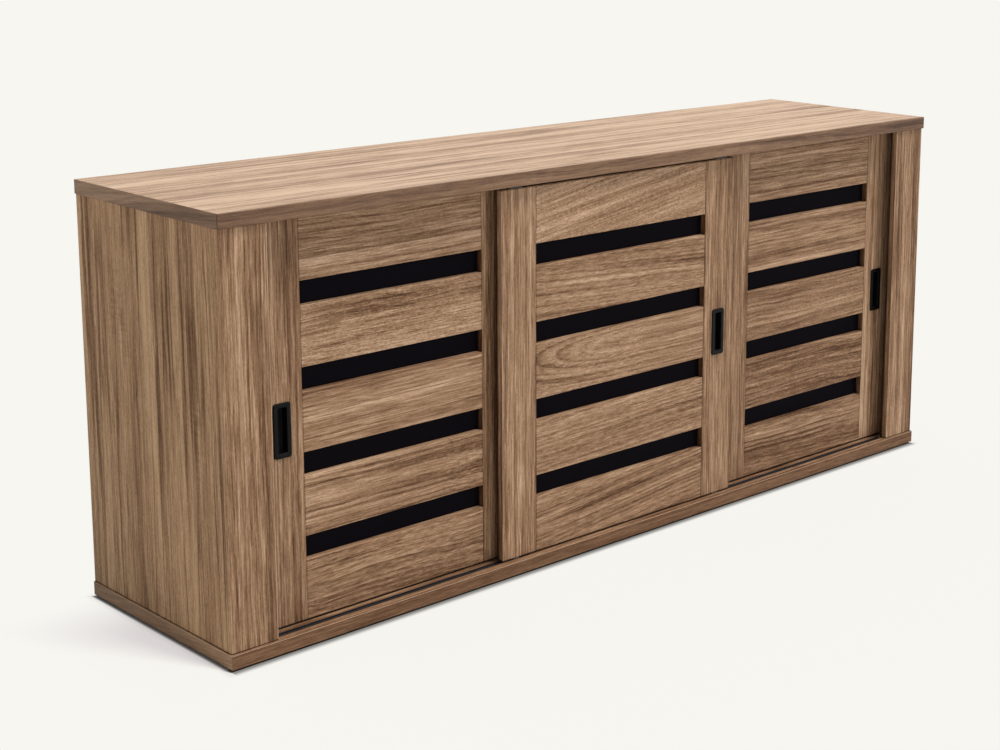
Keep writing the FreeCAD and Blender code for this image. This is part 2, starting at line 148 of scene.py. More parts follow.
def join(tree, x, y, z):
    node = tree.nodes.new("ShaderNodeCombineXYZ")
    for socket, value in zip(node.inputs, (x, y, z)):
        feed(tree, socket, value)
    return node.outputs[0]


def mixColour(tree, share, first, second, blend="MIX"):
    node = tree.nodes.new("ShaderNodeMix")
    node.data_type = "RGBA"
    node.blend_type = blend
    feed(tree, node.inputs[0], share)
    feed(tree, node.inputs[6], first)
    feed(tree, node.inputs[7], second)
    return node.outputs[2]


def mixVector(tree, share, first, second):
    node = tree.nodes.new("ShaderNodeMix")
    node.data_type = "VECTOR"
    feed(tree, node.inputs[0], share)
    feed(tree, node.inputs[4], first)
    feed(tree, node.inputs[5], second)
    return node.outputs[1]


def newGroup(name, inputs, outputs):
    group = bpy.data.node_groups.new(name, "ShaderNodeTree")
    for label, kind, value in inputs:
        socket = group.interface.new_socket(label, in_out="INPUT", socket_type=kind)
        if value is not None:
            socket.default_value = value
    for label, kind in outputs:
        group.interface.new_socket(label, in_out="OUTPUT", socket_type=kind)
    entry = group.nodes.new("NodeGroupInput")
    leave = group.nodes.new("NodeGroupOutput")
    return group, entry.outputs, leave.inputs


def useGroup(tree, group, **values):
    node = tree.nodes.new("ShaderNodeGroup")
    node.node_tree = group
    for label, value in values.items():
        feed(tree, node.inputs[label], value)
    return node.outputs


# the foil's usual look; each board changes what differs
foilLook = {
    "side": 0.4,        # how far the heart of the log lies across, from the board's middle
    "depth": 0.1,       # how far it lies below the face
    "taper": 0.01,      # how fast it sinks along the board
    "slope": 0.0,       # how far the grain runs off the board's edge
    "gap": 0.012,       # from one ring to the next
    "wave": 0.01,
    "tone": 0.0,        # above zero is paler
    "warmth": 0.0,
    # how much each pattern shows
    "rings": 0.3, "bands": 0.7, "streaks": 1.1, "veins": 0.2,
    "lines": 1.3, "stipple": 0.5, "pores": 0.3, "curl": 0.0,
}
figureNames = ("side", "depth", "taper", "slope", "gap", "wave")
shadeNames = ("rings", "veins", "bands", "streaks", "lines", "stipple", "pores", "curl")
darkShades = ("rings", "veins")

# waves per metre along, across and through the board; then detail, roughness and distortion
grainNoises = {
    "longWave": ((2.2, 7, 7), 2.0),     # sways the rings
    "shortWave": ((11, 22, 22), 2.0),
    "course": ((0.9, 42, 42), 2.0),     # where veins run, and where they fade
    "fade": ((3.0, 20, 20), 1.0),
    "ripple": ((170, 30, 30), 1.0),     # curl, and the patches that have it
    "patch": ((4, 12, 12), 1.0),
    "bands": ((0.5, 24, 24), 2.0),
    "streaks": ((1.6, 80, 80), 4.0, 0.65),
    "lines": ((13, 340, 340), 2.0, 0.8, 0.3),
    "stipple": ((160, 380, 380), 2.0, 0.7),
    "pores": ((150, 1200, 1200), 1.0),
}
grainShape = {
    "longSway": 2.0,        # how much of the long and of the short waves
    "shortSway": 0.35,
    "unevenScale": 26.0,    # how fast the rings' widths change, and by how many rings
    "unevenRings": 3.0,
    "latePower": 2.2,       # how late in a ring its dark wood comes
    "lateEnd": 0.86,        # and where it falls off again
    "faintest": 0.2,
    "veinWidth": 0.05,
    "veinFade": 0.12,
    "curlFade": (0.08, 0.3),
}
foilFinish = {
    # from the darkest grain to the palest wood
    "shades": [(72, 46, 28), (99, 70, 49), (125, 94, 69), (150, 118, 91), (174, 142, 114),
               (198, 166, 137)],
    "middle": 0.6,          # where plain wood lies among them
    "warm": (255, 246, 224),
    # the colour of the painted highlights along eased edges
    "edge": (214, 184, 156),
    # the colour of the dark joints and of the dark lines of painted shade
    "seamAndShade": (26, 16, 10),
    "roughness": 0.58,      # of the darkest grain
    "paleRoughness": -0.12,     # and how much the palest differs
    "poreRelief": 0.5,
    "relief": 0.00012,
    "gloss": 0.12,
    "topGloss": 0.35,
}


def socketName(name):
    return name.capitalize() + (" Shade" if name in shadeNames else "")


def grainNoise(tree, place, kind):
    scale, *fineness = grainNoises[kind]
    return noise(tree, stretch(tree, place, scale), *fineness)


def ringGroup():
    # x of Board runs along the grain, y across the board and z through it, from the board's
    # middle; Shift says which stretch of the foil it is
    shape = grainShape
    group, entry, leave = newGroup(
        "yearlyRings",
        [
            ("Board", vectorSocket, None),
            ("Shift", vectorSocket, None),
            *[(socketName(name), numberSocket, foilLook[name]) for name in figureNames],
        ],
        [("Rings", numberSocket), ("Flow", vectorSocket), ("Fibre", vectorSocket)],
    )
    board = split(group, entry["Board"])
    foil = add(group, entry["Board"], entry["Shift"])
    longWave = times(group, grainNoise(group, foil, "longWave"), shape["longSway"])
    shortWave = times(group, grainNoise(group, foil, "shortWave"), shape["shortSway"])
    sway = times(group, calc(group, "ADD", longWave, shortWave), entry["Wave"])
    run = calc(group, "ADD", times(group, board[0], entry["Slope"]), sway)
    across = calc(group, "ADD", calc(group, "SUBTRACT", board[1], entry["Side"]), run)
    sink = timesPlus(group, board[0], entry["Taper"], entry["Depth"])
    sink = calc(group, "MAXIMUM", sink, 0.0)
    under = calc(group, "ADD", sink, calc(group, "ADD", board[2], sway))
    squares = [calc(group, "POWER", sizeOf(group, part), 2.0) for part in (across, under)]
    radius = calc(group, "SQRT", calc(group, "ADD", *squares))
    spot = join(group, times(group, radius, shape["unevenScale"]), 0.0, 0.0)
    uneven = noise(group, add(group, spot, entry["Shift"]))
    uneven = times(group, uneven, shape["unevenRings"])
    count = calc(group, "ADD", calc(group, "DIVIDE", radius, entry["Gap"]), uneven)
    place = calc(group, "FRACT", count)
    fall = ease(group, place, shape["lateEnd"], 1.0, 1.0, 0.0)
    late = times(group, calc(group, "POWER", place, shape["latePower"]), fall)
    pick = group.nodes.new("ShaderNodeTexWhiteNoise")
    pick.noise_dimensions = "1D"
    feed(group, pick.inputs["W"], calc(group, "FLOOR", count))
    faintest = shape["faintest"]
    strength = timesPlus(group, pick.outputs["Value"], 1 - faintest, faintest)
    feed(group, leave["Rings"], times(group, late, strength))
    feed(group, leave["Flow"], add(group, join(group, board[0], radius, 0.0), entry["Shift"]))
    feed(group, leave["Fibre"], add(group, join(group, board[0], across, under), entry["Shift"]))
    return group


def fibreGroup():
    # Flow follows the rings, Fibre runs straight along the board
    group, entry, leave = newGroup(
        "woodFibres",
        [("Flow", vectorSocket, None), ("Fibre", vectorSocket, None)],
        [(name.capitalize(), numberSocket) for name in shadeNames if name != "rings"],
    )
    flow = entry["Flow"]
    fibre = entry["Fibre"]
    course = sizeOf(group, grainNoise(group, flow, "course"))
    vein = ease(group, course, 0.0, grainShape["veinWidth"], 1.0, 0.0)
    veinFade = grainShape["veinFade"]
    shown = ease(group, grainNoise(group, fibre, "fade"), -veinFade, veinFade)
    ripple = grainNoise(group, fibre, "ripple")
    patch = ease(group, grainNoise(group, fibre, "patch"), *grainShape["curlFade"])
    feed(group, leave["Bands"], grainNoise(group, flow, "bands"))
    feed(group, leave["Streaks"], grainNoise(group, flow, "streaks"))
    feed(group, leave["Veins"], times(group, vein, shown))
    feed(group, leave["Lines"], grainNoise(group, fibre, "lines"))
    feed(group, leave["Stipple"], grainNoise(group, fibre, "stipple"))
    feed(group, leave["Pores"], grainNoise(group, fibre, "pores"))
    feed(group, leave["Curl"], times(group, ripple, patch))
    return group


def walnutGroup(rings, fibres):
    finish = foilFinish
    group, entry, leave = newGroup(
        "walnutFoil",
        [
            ("Board", vectorSocket, None),
            ("Shift", vectorSocket, None),
            *[(socketName(name), numberSocket, usual) for name, usual in foilLook.items()],
            ("Edge", numberSocket, 0.0),    # 1 along an eased edge, where a painted highlight makes it lighter
            ("Seam", numberSocket, 0.0),    # 1 in a dark line: a joint where two boards meet, or painted shade in a gap or under another part
        ],
        [("Color", colourSocket), ("Roughness", numberSocket), ("Height", numberSocket)],
    )
    names = ("Board", "Shift", *map(socketName, figureNames))
    figure = useGroup(group, rings, **{name: entry[name] for name in names})
    fibre = useGroup(group, fibres, Flow=figure["Flow"], Fibre=figure["Fibre"])
    shade = calc(group, "ADD", entry["Tone"], finish["middle"])
    for name in shadeNames:
        value = figure["Rings"] if name == "rings" else fibre[name.capitalize()]
        sign = "SUBTRACT" if name in darkShades else "ADD"
        shade = calc(group, sign, shade, times(group, value, entry[socketName(name)]))
    ramp = group.nodes.new("ShaderNodeValToRGB")
    last = len(finish["shades"]) - 1
    ramp.color_ramp.elements[0].color = paint(*finish["shades"][0])
    ramp.color_ramp.elements[1].color = paint(*finish["shades"][last])
    for index in range(1, last):
        stop = ramp.color_ramp.elements.new(index / last)
        stop.color = paint(*finish["shades"][index])
    feed(group, ramp.inputs["Fac"], shade)
    colour = mixColour(group, entry["Warmth"], ramp.outputs["Color"], paint(*finish["warm"]),
                       "MULTIPLY")
    colour = mixColour(group, entry["Edge"], colour, paint(*finish["edge"]))
    colour = mixColour(group, entry["Seam"], colour, paint(*finish["seamAndShade"]))
    feed(group, leave["Color"], colour)
    roughness = timesPlus(group, shade, finish["paleRoughness"], finish["roughness"])
    feed(group, leave["Roughness"], roughness)
    pores = times(group, fibre["Pores"], finish["poreRelief"])
    feed(group, leave["Height"], calc(group, "ADD", fibre["Lines"], pores))
    return group


walnutFoil = walnutGroup(ringGroup(), fibreGroup())


def principled(name, metallic=0.0, gloss=0.5):
    material = bpy.data.materials.new(name)
    material.use_nodes = True
    shader = material.node_tree.nodes["Principled BSDF"]
    shader.inputs["Metallic"].default_value = metallic
    shader.inputs["Specular IOR Level"].default_value = gloss
    return material, material.node_tree, shader


def addBump(tree, shader, height, distance):
    bump = tree.nodes.new("ShaderNodeBump")
    bump.inputs["Distance"].default_value = distance
    feed(tree, bump.inputs["Height"], height)
    feed(tree, shader.inputs["Normal"], bump.outputs["Normal"])


def objectPlace(tree, middle=(0, 0, 0)):
    # the object's own coordinates from its middle and as they are, and its normal
    coordinates = tree.nodes.new("ShaderNodeTexCoord")
    mapping = tree.nodes.new("ShaderNodeMapping")
    mapping.inputs["Location"].default_value = -Vector(middle)
    feed(tree, mapping.inputs["Vector"], coordinates.outputs["Object"])
    return mapping.outputs["Vector"], coordinates.outputs["Object"], coordinates.outputs["Normal"]


def foilShader(tree, shader, board, look, **instead):
    # what is in instead takes the place of the look's own value
    values = {socketName(name): look.get(name, usual) for name, usual in foilLook.items()}
    values["Shift"] = look["shift"]
    foil = useGroup(tree, walnutFoil, Board=board, **{**values, **instead})
    feed(tree, shader.inputs["Base Color"], foil["Color"])
    feed(tree, shader.inputs["Roughness"], foil["Roughness"])
    addBump(tree, shader, foil["Height"], foilFinish["relief"])


def turned(tree, vector, grain):
    # puts the object's axes in the order along, across and through the board
    axes = split(tree, vector)
    return join(tree, *[axes["XYZ".index(letter)] for letter in grain])


# the lines that the materials draw: half the width of each and how strong it is; the dark ones
# are joints and painted shade, the light ones are painted highlights
drawnLines = {
    "bandCorner": (0.0005, 0.3),
    # dark lines of painted shade: under the top, where the sides and posts meet the base
    # (darkening their joint), at the foot of the doors and in the slits behind side faces
    "shadeUnderTop": (0.0012, 0.8),
    "jointShadeOnBase": (0.0011, 0.75),
    "shadeAtFoot": (0.002, 0.9),
    "behind": (0.0055, 0.9),
    # dark joints where the slats and rails meet the stiles
    "joint": (0.0009, 0.5),
    # painted shade in the gap above the centre door
    "shadeAboveDoor": (0.0017, 0.9),
    # painted highlights along the eased edges of the base, top, posts, stiles, doors and boards
    "baseEdge": (0.0016, 0.9),
    "postEdge": (0.0012, 0.4),
    "stileEdge": (0.0011, 0.4),
    "doorLeftEdge": (0.0013, 0.4),
    "doorRightEdge": (0.001, 0.4),
    "boardEdge": (0.0009, 0.4),
}
# where a line is full and where it is gone, in half widths, and how far its faces may turn
lineShape = {"core": 0.5, "end": 1.2, "turn": 0.5}
faceTurn = 0.6      # a face whose normal is more than this along an axis faces that way


def drawn(kind, axis, at):
    return axis, at, *drawnLines[kind]


def lineMask(tree, place, facing, lines):
    # how strong the lines are, on the faces that cross their planes
    axes, turns = split(tree, place), split(tree, facing)
    mask = 0.0
    for axis, at, half, strength in lines:
        index = "XYZ".index(axis)
        away = sizeOf(tree, calc(tree, "SUBTRACT", axes[index], at))
        line = ease(tree, away, half * lineShape["core"], half * lineShape["end"], strength, 0.0)
        turn = sizeOf(tree, turns[index])
        line = times(tree, line, calc(tree, "LESS_THAN", turn, lineShape["turn"]))
        mask = line if mask == 0.0 else calc(tree, "MAXIMUM", mask, line)
    return mask


def trim(tree, own, facing, look):
    # the dark joint lines and the dark lines of painted shade, and the painted highlights along
    # eased edges
    return {
        "Seam": lineMask(tree, own, facing, look.get("seams", ())),
        "Edge": lineMask(tree, own, facing, look.get("edges", ())),
    }


def facesAlong(tree, turn):
    return calc(tree, "GREATER_THAN", sizeOf(tree, turn), faceTurn)


def middleOf(low, high):
    return (low + high) / 2


def dress(name, material):
    for materialSlot in nodes[name].material_slots:
        materialSlot.material = material


def dressBoard(name, look):
    material, tree, shader = principled("walnut_" + name, gloss=foilFinish["gloss"])
    place, own, facing = objectPlace(tree, middleOf(*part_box(name)))
    # faces that look along x are darkened by the look's side shade, which is painted shade
    onSide = facesAlong(tree, split(tree, facing)[0])
    tone = timesPlus(tree, onSide, look.get("sideTone", 0.0), look.get("tone", 0.0))
    board = turned(tree, place, look["grain"])
    foilShader(tree, shader, board, look, Tone=tone, **trim(tree, own, facing, look))
    dress(name, material)


def dressSlab(name, look):
    # the bands on the slab's edges have their own quiet grain, along each edge
    material, tree, shader = principled("walnut_" + name, gloss=look["gloss"])
    place, own, normal = objectPlace(tree, middleOf(*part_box(name)))
    facing = split(tree, normal)
    onEnd = facesAlong(tree, facing[0])
    onLong = facesAlong(tree, facing[1])
    x, y, z = split(tree, place)
    longEdge = join(tree, times(tree, x, look["edgeStretch"]), z, y)
    endEdge = join(tree, y, timesPlus(tree, y, look["endSlope"], z), x)
    board = mixVector(tree, onLong, place, longEdge)
    board = mixVector(tree, onEnd, board, endEdge)
    onEdge = calc(tree, "MAXIMUM", onEnd, onLong)
    quiet = {}
    for shade in shadeNames:
        full = look.get(shade, foilLook[shade])
        less = (look["quiet"] - 1) * full
        quiet[socketName(shade)] = timesPlus(tree, onEdge, less, full)
    tone = timesPlus(tree, onLong, look["edgeTone"] - look["tone"], look["tone"])
    tone = timesPlus(tree, onEnd, look["endTone"] - look["tone"], tone)
    corner = times(tree, onLong, lineMask(tree, own, normal, look["seams"]))
    # painted highlights along the slab's eased edges
    rim = lineMask(tree, own, normal, look["edges"])
    foilShader(tree, shader, board, look, **quiet, Tone=tone, Seam=corner, Edge=rim)
    dress(name, material)


def bySlat(tree, index, values):
    total = values[0]
    for count, value in enumerate(values[1:], 1):
        here = calc(tree, "COMPARE", index, float(count), 0.5)
        total = timesPlus(tree, here, value - values[0], total)
    return total


def dressSlats(name, look):
    # each slat is cut from another place in the board; a look with a value for each is a tuple
    material, tree, shader = principled("walnut_" + name, gloss=foilFinish["gloss"])
    place, own, facing = objectPlace(tree, middleOf(*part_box(name)))
    x, y, z = split(tree, place)
    pitch = look["pitch"]
    half = (slatCount - 1) / 2
    index = calc(tree, "ROUND", timesPlus(tree, z, 1 / pitch, half))
    local = calc(tree, "SUBTRACT", z, timesPlus(tree, index, pitch, -half * pitch))
    board = join(tree, x, local, y)
    values = {socketName(key): bySlat(tree, index, value) for key, value in look.items()
              if key in foilLook and type(value) is tuple}
    shift = timesPlus(tree, index, look["jump"], look["shift"][0])
    values["Shift"] = join(tree, shift, *look["shift"][1:])
    foilShader(tree, shader, board, look, **values, **trim(tree, own, facing, look))
    dress(name, material)


topLow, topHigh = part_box("top_panel")
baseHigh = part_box("base_panel")[1]
bandThickness = 0.0008
# dark lines of painted shade under the top and along the feet of the sides and posts, where they
# meet the base
shadeUnderTop = drawn("shadeUnderTop", "Z", topLow.z)
jointShadeOnBase = drawn("jointShadeOnBase", "Z", baseHigh.z)
postFoot = drawn("shadeAtFoot", "Z", baseHigh.z)

slabLook = {
    "side": 0.62, "depth": 0.2, "gap": 0.02, "wave": 0.008, "rings": 0.35, "stipple": 0.3,
    "edgeStretch": 1.6, "endSlope": 0.12, "quiet": 0.5,
    "seams": [drawn("bandCorner", "X", topLow.x + bandThickness),
              drawn("bandCorner", "X", topHigh.x - bandThickness)],
}
topLook = {
    # the top's paler tone is partly painted light: it stands in for the stronger light that falls
    # on the top
    **slabLook, "shift": (0.3, 0.1, 0), "tone": 0.25, "edgeTone": -0.28, "endTone": -0.2,
    "bands": 1.2, "streaks": 1.3, "lines": 1.2, "veins": 0.3, "gloss": foilFinish["topGloss"],
    "edges": [drawn("boardEdge", "Z", topHigh.z)],
}
baseLook = {
    **slabLook, "shift": (3.1, 0.4, 0), "tone": -0.14, "edgeTone": -0.28, "endTone": 0.05,
    "bands": 0.5, "gloss": foilFinish["gloss"], "edges": [drawn("baseEdge", "Z", baseHigh.z)],
}
dressSlab("top_panel", topLook)
dressSlab("base_panel", baseLook)

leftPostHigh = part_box("front_post_left")[1]
rightPostLow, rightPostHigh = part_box("front_post_right")
sideLook = {"grain": "ZYX", "side": 0.9, "depth": 0.5, "gap": 0.016, "wave": 0.004, "rings": 0.2,
            "streaks": 0.8, "lines": 1.1, "seams": [shadeUnderTop, jointShadeOnBase]}
postLook = {"grain": "ZXY", "side": -0.5, "depth": 0.3, "gap": 0.008, "wave": 0.004,
            "streaks": 1.2, "stipple": 0.3, "seams": [shadeUnderTop, postFoot]}
carcassLooks = {
    "side_panel_left": {**sideLook, "shift": (0, 0, 0), "tone": 0.15, "bands": 1.0, "veins": 0.4,
                        "curl": 0.5, "warmth": 0.8},
    "side_panel_right": {**sideLook, "shift": (0, 0.7, 4), "bands": 0.9},
    "front_post_left": {**postLook, "shift": (0.2, 0, 1.3), "tone": -0.08,
                        "edges": [drawn("postEdge", "X", leftPostHigh.x)]},
    "front_post_right": {**postLook, "shift": (0.9, 0, 2.9), "tone": -0.06,
                         # painted shadow in the slit behind the right post's side face
                         "seams": [shadeUnderTop, postFoot, drawn("behind", "Y", rightPostHigh.y)],
                         "edges": [drawn("postEdge", "X", rightPostLow.x)]},
    "divider_left": {"grain": "ZYX", "shift": (0, 1.1, 7), "wave": 0.004},
    "divider_right": {"grain": "ZYX", "shift": (0, 2.3, 8), "wave": 0.004},
    "shelf_left": {"grain": "XYZ", "shift": (5.2, 0.3, 0)},
    "shelf_centre": {"grain": "XYZ", "shift": (6.9, 0.9, 0)},
    "shelf_right": {"grain": "XYZ", "shift": (8.3, 1.6, 0)},
    "back_panel": {"grain": "XZY", "shift": (9.6, 0, 2.2), "gap": 0.02, "streaks": 0.8,
                   "lines": 1.0},
}
for name, look in carcassLooks.items():
    dressBoard(name, look)
print("carcass boards dressed")

# the grain of each door's members, from the bottom up; slats may have one value each
stileLook = {"grain": "ZXY", "side": 0.6, "depth": 0.3, "gap": 0.008, "wave": 0.004,
             "stipple": 0.3}
railLook = {"grain": "XZY", "gap": 0.009, "wave": 0.006, "rings": 0.35}
slatLook = {**railLook, "jump": 2.7}
doorLooks = {
    "left_door": {
        "stile_left": {"tone": -0.1},
        "bottom_rail": {"side": -0.3, "depth": 0.1, "taper": 0.1, "wave": 0.012, "rings": 0.45,
                        "tone": -0.03, "stipple": 0.3},
        "slats": {"side": (0.01, 0.5, 0.3), "depth": (-0.015, 0.2, 0.1),
                  "taper": (0.15, 0.02, 0.05), "tone": (-0.03, 0.0, 0.1),
                  "stipple": (0.5, 0.3, 0.9), "rings": (0.4, 0.4, 0.1),
                  "wave": (0.01, 0.006, 0.01)},
        "top_rail": {"side": 0.4, "depth": 0.2, "wave": 0.012, "rings": 0.45, "tone": 0.06},
    },
    "centre_door": {
        "stile_left": {"tone": -0.05},
        "bottom_rail": {"side": -0.25, "depth": 0.1, "taper": -0.1, "slope": -0.05, "gap": 0.008,
                        "rings": 0.55, "stipple": 0.25, "lines": 1.1},
        "slats": {"side": (-0.3, 0.02, 0.4), "depth": (0.1, 0.009, 0.2),
                  "taper": (-0.12, -0.15, -0.12), "tone": (0.03, 0.03, 0.02),
                  "stipple": (0.3, 0.5, 0.3), "rings": (0.4, 0.4, 0.45),
                  "lines": (1.15, 1.1, 1.15)},
        "top_rail": {"side": -0.2, "depth": 0.05, "slope": -0.16, "gap": 0.016, "rings": 0.2,
                     "bands": 0.5, "stipple": 1.0, "lines": 0.7, "tone": 0.09},
    },
    "right_door": {
        "stile_right": {"tone": 0.12},
        "bottom_rail": {"side": -0.12, "depth": 0.04, "taper": 0.04, "tone": -0.11,
                        "wave": 0.014},
        "slats": {"side": (-0.1, -0.08, 0.5), "depth": (0.02, 0.02, 0.2),
                  "taper": (0.05, -0.05, 0.02), "tone": (-0.08, -0.06, 0.0),
                  "stipple": (0.8, 0.7, 0.4), "rings": (0.4, 0.4, 0.45),
                  "wave": (0.014, 0.018, 0.004), "lines": (1.15, 0.8, 1.15)},
        "top_rail": {"side": 0.5, "depth": 0.2, "wave": 0.003, "rings": 0.5, "tone": 0.06},
    },
}
# where each member starts in the foil, along and across, and the steps to the next door's
foilCuts = {
    "stile_left": (1.7, 1.7, 3.1, 0.6),
    "stile_right": (4.9, 4.9, 3.1, 0.6),
    "bottom_rail": (2.2, 2.2, 2.3, 0),
    "top_rail": (6.1, 6.1, 2.3, 0),
    "slats": (11.3, 0, 9.7, 0),
}
# painted shade on the right stiles' side faces, which lie in the slots and gaps
stileSideShades = {"stile_left": 0.0, "stile_right": -0.4}
slatCount = 3
backingLap = 0.009


def cutPlace(part, order):
    along, across, stepAlong, stepAcross = foilCuts[part]
    return along + order * stepAlong, across + order * stepAcross, 0


for order, (door, looks) in enumerate(doorLooks.items()):
    backingLow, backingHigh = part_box(door + "_backing")
    doorLow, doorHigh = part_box(door + "_stile_left")[0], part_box(door + "_stile_right")[1]
    field = (backingLow.x + backingLap, backingHigh.x - backingLap)
    joints = [drawn("joint", "X", at) for at in field]
    # painted shade in the gaps under the door and above the centre door, and in the slit behind
    # the stiles' side faces
    gapShade = [drawn("shadeAtFoot", "Z", doorLow.z)]
    stileEdges = [drawn("stileEdge", "X", at) for at in field]
    if door == "centre_door":
        gapShade.append(drawn("shadeAboveDoor", "Z", doorHigh.z))
        stileEdges += [drawn("doorLeftEdge", "X", doorLow.x),
                       drawn("doorRightEdge", "X", doorHigh.x)]
    for part, sideTone in stileSideShades.items():
        look = {**stileLook, "shift": cutPlace(part, order), **looks.get(part, {}),
                "sideTone": sideTone, "edges": stileEdges,
                "seams": [*gapShade, drawn("behind", "Y", doorHigh.y)]}
        dressBoard(f"{door}_{part}", look)
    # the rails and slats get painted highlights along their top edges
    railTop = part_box(door + "_bottom_rail")[1].z
    for part in ("bottom_rail", "top_rail"):
        look = {**railLook, "shift": cutPlace(part, order), **looks[part],
                "seams": [*gapShade, *joints], "edges": [drawn("boardEdge", "Z", railTop)]}
        dressBoard(f"{door}_{part}", look)
    slatLow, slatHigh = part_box(door + "_slats")
    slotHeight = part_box(door + "_top_rail")[0].z - slatHigh.z
    slatHeight = (slatHigh.z - slatLow.z - (slatCount - 1) * slotHeight) / slatCount
    pitch = slatHeight + slotHeight
    slatTops = [slatLow.z + slatHeight + count * pitch for count in range(slatCount)]
    look = {**slatLook, "shift": cutPlace("slats", order), **looks["slats"], "pitch": pitch,
            "seams": joints, "edges": [drawn("boardEdge", "Z", at) for at in slatTops]}
    dressSlats(door + "_slats", look)
print("doors dressed")

# slow and fine variation of a moulded, cast or drawn surface, in waves per metre
mottleShape = {"slow": 60, "slowShare": 0.9, "fine": 2600, "fineShare": 0.5, "middle": 0.5,
               "relief": 0.00003}


def mottleGroup():
    shape = mottleShape
    group, entry, leave = newGroup(
        "surfaceMottle",
        [
            ("Place", vectorSocket, None),
            ("Dark", colourSocket, None),
            ("Light", colourSocket, None),
            ("Smooth", numberSocket, 0.35),
            ("Rough", numberSocket, 0.55),
        ],
        [("Color", colourSocket), ("Roughness", numberSocket), ("Height", numberSocket)],
    )
    slow = noise(group, stretch(group, entry["Place"], (shape["slow"],) * 3), detail=3.0)
    fine = noise(group, stretch(group, entry["Place"], (shape["fine"],) * 3), detail=1.0)
    both = calc(group, "ADD", times(group, slow, shape["slowShare"]), shape["middle"])
    both = calc(group, "ADD", both, times(group, fine, shape["fineShare"]))
    feed(group, leave["Color"], mixColour(group, both, entry["Dark"], entry["Light"]))
    spread = calc(group, "SUBTRACT", entry["Rough"], entry["Smooth"])
    feed(group, leave["Roughness"], timesPlus(group, both, spread, entry["Smooth"]))
    feed(group, leave["Height"], fine)
    return group


surfaceMottle = mottleGroup()

plainLooks = {
    "doorBacking": {"dark": (9, 7, 12), "light": (15, 13, 19), "smooth": 0.6, "rough": 0.8,
                    "gloss": 0.03},
    "pullPlastic": {"dark": (2, 2, 3), "light": (7, 7, 9), "smooth": 0.35, "rough": 0.5,
                    "gloss": 0.12},
    "trackPlastic": {"dark": (22, 22, 25), "light": (40, 41, 46), "smooth": 0.25, "rough": 0.5},
    "rollerNylon": {"dark": (196, 194, 186), "light": (226, 224, 216), "smooth": 0.3,
                    "rough": 0.5},
    "glidePlastic": {"dark": (30, 30, 32), "light": (46, 46, 48), "smooth": 0.4, "rough": 0.65},
    "bumperRubber": {"dark": (186, 184, 176), "light": (214, 212, 204), "smooth": 0.35,
                     "rough": 0.6},
    "castZinc": {"dark": (128, 129, 130), "light": (172, 173, 174), "smooth": 0.35, "rough": 0.6,
                 "metal": 1.0},
    "platedSteel": {"dark": (168, 170, 174), "light": (206, 207, 210), "smooth": 0.2,
                    "rough": 0.4, "metal": 1.0},
    "beech": {"dark": (186, 148, 106), "light": (214, 180, 138), "smooth": 0.5, "rough": 0.7},
}


def plainMaterial(name, look):
    material, tree, shader = principled(name, look.get("metal", 0.0), look.get("gloss", 0.5))
    surface = useGroup(tree, surfaceMottle, Place=objectPlace(tree)[0],
                       Dark=paint(*look["dark"]), Light=paint(*look["light"]),
                       Smooth=look["smooth"], Rough=look["rough"])
    feed(tree, shader.inputs["Base Color"], surface["Color"])
    feed(tree, shader.inputs["Roughness"], surface["Roughness"])
    addBump(tree, shader, surface["Height"], mottleShape["relief"])
    return material


plain = {name: plainMaterial(name, look) for name, look in plainLooks.items()}

carcassFinishes = {
    "trackPlastic": ["bottom_track_front", "bottom_track_rear", "top_track_front",
                     "top_track_rear"],
    "castZinc": ["cam_locks"],
    "platedSteel": ["cam_bolts", "glide_nails", "shelf_pins"],
    "beech": ["panel_dowels"],
    "glidePlastic": ["glides"],
    "bumperRubber": ["door_bumpers"],
}
doorFinishes = {
    "doorBacking": ["_backing"],
    "pullPlastic": ["_pull"],
    "trackPlastic": ["_roller_housings", "_top_guides"],
    "platedSteel": ["_roller_axles"],
    "rollerNylon": ["_roller_left", "_roller_right"],
}
for finish, names in carcassFinishes.items():
    for name in names:
        dress(name, plain[finish])
for finish, endings in doorFinishes.items():
    for ending in endings:
        for door in doorNames:
            dress(door + ending, plain[finish])
print("hardware dressed")

hair = 0.0001       # how near counts as the same place
squareOn = 0.9      # how much of a face's normal is along the way it faces


def startPicking(kind):
    bpy.ops.object.mode_set(mode="EDIT")
    bpy.ops.mesh.select_mode(type=kind)
    bpy.ops.mesh.select_all(action="DESELECT")
    bpy.ops.object.mode_set(mode="OBJECT")


def pickFaces(piece, test):
    startPicking("FACE")
    for face in piece.data.polygons:
        face.select = test(face)
    bpy.ops.object.mode_set(mode="EDIT")


def pickEdges(piece, test):
    startPicking("EDGE")
    points = piece.data.vertices
    for edge in piece.data.edges:
        edge.select = test(points[edge.vertices[0]].co, points[edge.vertices[1]].co)
    bpy.ops.object.mode_set(mode="EDIT")


def clearSelection():
    if bpy.context.mode != "OBJECT":
        bpy.ops.object.mode_set(mode="OBJECT")
    bpy.ops.object.select_all(action="DESELECT")


def startBlock(name, size, middle=(0, 0, 0)):
    clearSelection()
    bpy.ops.mesh.primitive_cube_add(size=1)
    piece = bpy.context.active_object
    piece.name = name
    bpy.ops.object.mode_set(mode="EDIT")
    bpy.ops.transform.resize(value=size)
    bpy.ops.transform.translate(value=middle)
    return piece


def startDisc(name, radius, thickness, sides=64):
    # lies along z, from 0 up
    clearSelection()
    bpy.ops.mesh.primitive_cylinder_add(vertices=sides, radius=radius, depth=thickness)
    piece = bpy.context.active_object
    piece.name = name
    bpy.ops.object.mode_set(mode="EDIT")
    bpy.ops.transform.translate(value=(0, 0, thickness / 2))
    return piece


